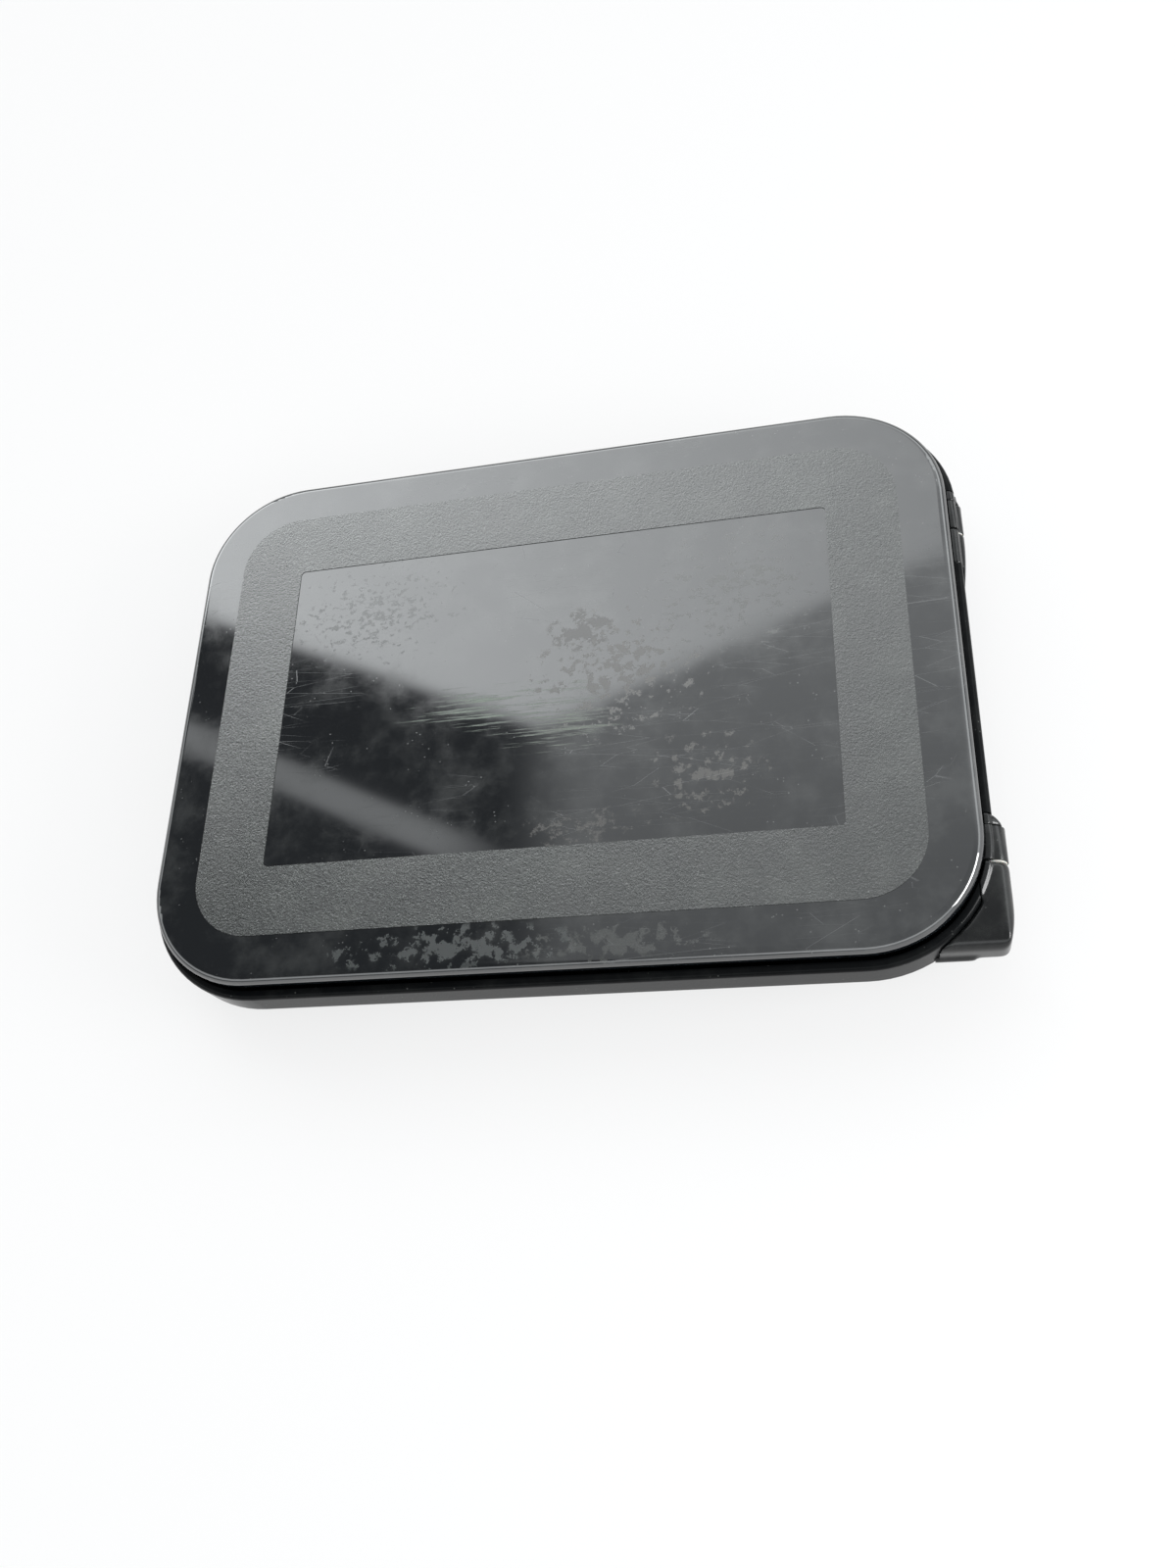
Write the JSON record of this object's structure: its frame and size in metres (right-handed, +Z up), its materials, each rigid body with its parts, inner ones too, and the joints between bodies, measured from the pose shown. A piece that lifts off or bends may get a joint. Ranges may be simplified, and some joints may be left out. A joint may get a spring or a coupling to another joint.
{
  "type": "deck hatch",
  "caption": "Rectangular low-profile boat deck hatch: smoked acrylic lens with a grey non-slip band, black base frame with spigot, corner hinge pods and inside cam latches.",
  "frame": {"origin": "centre of the deck screw pattern on the deck plane, under the base frame's flange", "axes": "+Z up out of the deck, +X along the length towards the hinges, +Y across, along the hinge axis"},
  "size_m": [0.5185, 0.374, 0.0594],
  "materials": {
    "smoked_acrylic": "polished smoked acrylic, lightly scratched",
    "nonslip_grey": "fine-grained non-slip coating",
    "black_adhesive": "cured structural sealant",
    "lid_frame_black": "black anodised",
    "seal_rubber": "matte rubber",
    "base_frame_black": "gloss black",
    "hinge_black": "gloss black casting",
    "stainless_steel": "turned stainless steel",
    "white_nylon": "natural nylon",
    "latch_black": "moulded glass-filled nylon",
    "cam_grey": "cast stainless steel"
  },
  "bodies": {
    "base": {"base_frame": "base_frame_black", "hinge_body_front": "hinge_black", "hinge_body_rear": "hinge_black", "hinge_body_screws": "stainless_steel", "keeper_front": "stainless_steel", "keeper_rear": "stainless_steel", "keeper_screws": "stainless_steel"},
    "lid": {"lens": "smoked_acrylic", "nonslip_band": "nonslip_grey", "lens_bond": "black_adhesive", "lid_frame": "lid_frame_black", "lid_seal": "seal_rubber", "hinge_arm_front": "hinge_black", "hinge_arm_rear": "hinge_black", "hinge_pin_front": "stainless_steel", "hinge_pin_rear": "stainless_steel", "friction_washer": "white_nylon", "thrust_washer": "white_nylon", "spring_washers": "stainless_steel", "hinge_nut": "stainless_steel", "pin_clip": "stainless_steel", "hinge_arm_screws": "stainless_steel", "latch_housing_front": "latch_black", "latch_housing_rear": "latch_black", "latch_bush_front": "white_nylon", "latch_bush_rear": "white_nylon", "latch_washer_front": "stainless_steel", "latch_washer_rear": "stainless_steel", "latch_housing_screws": "stainless_steel"},
    "latch_front": {"latch_shaft_front": "stainless_steel", "latch_cam_front": "cam_grey", "latch_lever_front": "latch_black", "lever_screw_front": "stainless_steel"},
    "latch_rear": {"latch_shaft_rear": "stainless_steel", "latch_cam_rear": "cam_grey", "latch_lever_rear": "latch_black", "lever_screw_rear": "stainless_steel"}
  },
  "joints": [
    {"name": "lid_hinge", "type": "hinge", "parent": "base", "child": "lid", "pos_m": [0.2545, 0, 0.0145], "axis": [0, 1, 0], "range_deg": [0, 100]},
    {"name": "latch_front_turn", "type": "hinge", "parent": "lid", "child": "latch_front", "pos_m": [-0.2, -0.08, 0], "axis": [0, 0, 1], "range_deg": [0, 90]},
    {"name": "latch_rear_turn", "type": "hinge", "parent": "lid", "child": "latch_rear", "pos_m": [-0.2, 0.08, 0], "axis": [0, 0, -1], "range_deg": [0, 90]}
  ]
}
